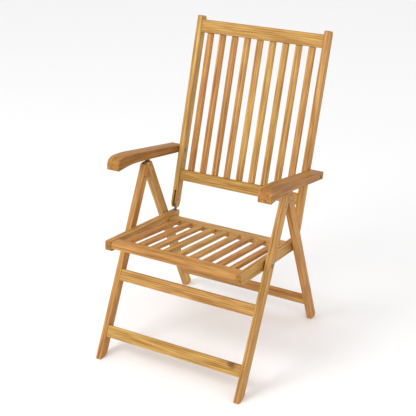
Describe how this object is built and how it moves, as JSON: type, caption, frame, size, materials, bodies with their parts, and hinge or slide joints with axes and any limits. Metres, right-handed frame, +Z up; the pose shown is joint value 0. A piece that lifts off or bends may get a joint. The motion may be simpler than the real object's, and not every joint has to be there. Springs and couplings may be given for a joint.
{
  "type": "folding chair",
  "caption": "High-backed slatted wooden armchair that folds flat and whose back reclines in notched steps under its arms.",
  "frame": {"origin": "middle of the outer box at rest, on the ground under the chair", "axes": "+X to the sitter's left, -Y to the front, +Z up"},
  "size_m": [0.623, 0.7486, 1.1003],
  "materials": {
    "teak_frame": "oiled teak, satin, honey brown",
    "teak_slats": "oiled teak slats, honey to amber, satin",
    "teak_arms": "oiled teak, redder brown, satin",
    "steel_fittings": "galvanised steel"
  },
  "bodies": {
    "front_leg_frame": {"front_leg_left": "teak_frame", "front_leg_right": "teak_frame", "front_lower_crossbar": "teak_frame", "front_upper_crossbar": "teak_frame", "leg_hinge_pin_left": "steel_fittings", "leg_hinge_pin_right": "steel_fittings", "seat_bolt_left": "steel_fittings", "seat_bolt_right": "steel_fittings", "seat_bolt_washer_left": "steel_fittings", "seat_bolt_washer_right": "steel_fittings"},
    "rear_leg_frame": {"arm_rest_bar_left": "steel_fittings", "arm_rest_bar_right": "steel_fittings", "leg_hinge_plate_left": "steel_fittings", "leg_hinge_plate_right": "steel_fittings", "lower_plate_pin_left": "steel_fittings", "lower_plate_pin_right": "steel_fittings", "rear_crossbar": "teak_frame", "rear_leg_left": "teak_frame", "rear_leg_right": "teak_frame", "upper_plate_pin_left": "steel_fittings", "upper_plate_pin_right": "steel_fittings"},
    "seat_frame": {"back_hinge_strap_left": "steel_fittings", "back_hinge_strap_right": "steel_fittings", "seat_front_rail": "teak_frame", "seat_rail_left": "teak_frame", "seat_rail_right": "teak_frame", "seat_rear_rail": "teak_frame", "seat_slat_1": "teak_slats", "seat_slat_2": "teak_slats", "seat_slat_3": "teak_slats", "seat_slat_4": "teak_slats", "seat_slat_5": "teak_slats", "seat_slat_6": "teak_slats", "seat_slat_7": "teak_slats", "seat_slat_8": "teak_slats", "seat_slat_9": "teak_slats", "strap_pin_left": "steel_fittings", "strap_pin_right": "steel_fittings"},
    "back_hinge_pins": {"back_hinge_pin_left": "steel_fittings", "back_hinge_pin_right": "steel_fittings"},
    "back_frame": {"back_bottom_rail": "teak_frame", "back_slat_1": "teak_slats", "back_slat_2": "teak_slats", "back_slat_3": "teak_slats", "back_slat_4": "teak_slats", "back_slat_5": "teak_slats", "back_slat_6": "teak_slats", "back_slat_7": "teak_slats", "back_slat_8": "teak_slats", "back_slat_9": "teak_slats", "back_stile_left": "teak_frame", "back_stile_right": "teak_frame", "back_top_rail": "teak_frame"},
    "arm_bush_left": {"arm_bush_left": "steel_fittings"},
    "arm_bolt_left": {"arm_bolt_left": "steel_fittings"},
    "arm_left": {"arm_left": "teak_arms"},
    "arm_bush_right": {"arm_bush_right": "steel_fittings"},
    "arm_bolt_right": {"arm_bolt_right": "steel_fittings"},
    "arm_right": {"arm_right": "teak_arms"}
  },
  "joints": [
    {"name": "fold", "type": "hinge", "parent": "front_leg_frame", "child": "rear_leg_frame", "pos_m": [0, -0.04271, 0.59095], "axis": [-1, 0, 0], "range_deg": [0, 51.8]},
    {"name": "seat_fold", "type": "hinge", "parent": "front_leg_frame", "child": "seat_frame", "pos_m": [0, -0.13758, 0.41101], "axis": [-1, 0, 0], "range_deg": [0, 98]},
    {"name": "back_fold", "type": "hinge", "parent": "seat_frame", "child": "back_hinge_pins", "pos_m": [0, 0.1486, 0.43338], "axis": [-1, 0, 0], "range_deg": [-88.2, 0]},
    {"name": "recline", "type": "hinge", "parent": "back_hinge_pins", "child": "back_frame", "pos_m": [0, 0.1486, 0.43338], "axis": [-1, 0, 0], "range_deg": [0, 30]},
    {"name": "arm_fold_left", "type": "hinge", "parent": "back_frame", "child": "arm_bush_left", "pos_m": [0, 0.20684, 0.61476], "axis": [-1, 0, 0], "range_deg": [0, 107.9]},
    {"name": "arm_follow_left", "type": "hinge", "parent": "arm_bush_left", "child": "arm_bolt_left", "pos_m": [0, 0.20684, 0.61476], "axis": [-1, 0, 0], "range_deg": [-21.6, 0]},
    {"name": "arm_lift_left", "type": "hinge", "parent": "arm_bolt_left", "child": "arm_left", "pos_m": [0, 0.20684, 0.61476], "axis": [-1, 0, 0], "range_deg": [-1, 40]},
    {"name": "arm_fold_right", "type": "hinge", "parent": "back_frame", "child": "arm_bush_right", "pos_m": [0, 0.20684, 0.61476], "axis": [-1, 0, 0], "range_deg": [0, 107.9]},
    {"name": "arm_follow_right", "type": "hinge", "parent": "arm_bush_right", "child": "arm_bolt_right", "pos_m": [0, 0.20684, 0.61476], "axis": [-1, 0, 0], "range_deg": [-21.6, 0]},
    {"name": "arm_lift_right", "type": "hinge", "parent": "arm_bolt_right", "child": "arm_right", "pos_m": [0, 0.20684, 0.61476], "axis": [-1, 0, 0], "range_deg": [-1, 40]}
  ],
  "couplings": [
    {"joint": "seat_fold", "follows": "fold", "ratio": 1.89},
    {"joint": "back_fold", "follows": "fold", "ratio": -1.7},
    {"joint": "arm_fold_left", "follows": "fold", "ratio": 2.08},
    {"joint": "arm_follow_left", "follows": "recline", "ratio": -0.715},
    {"joint": "arm_fold_right", "follows": "fold", "ratio": 2.08},
    {"joint": "arm_follow_right", "follows": "recline", "ratio": -0.715}
  ]
}
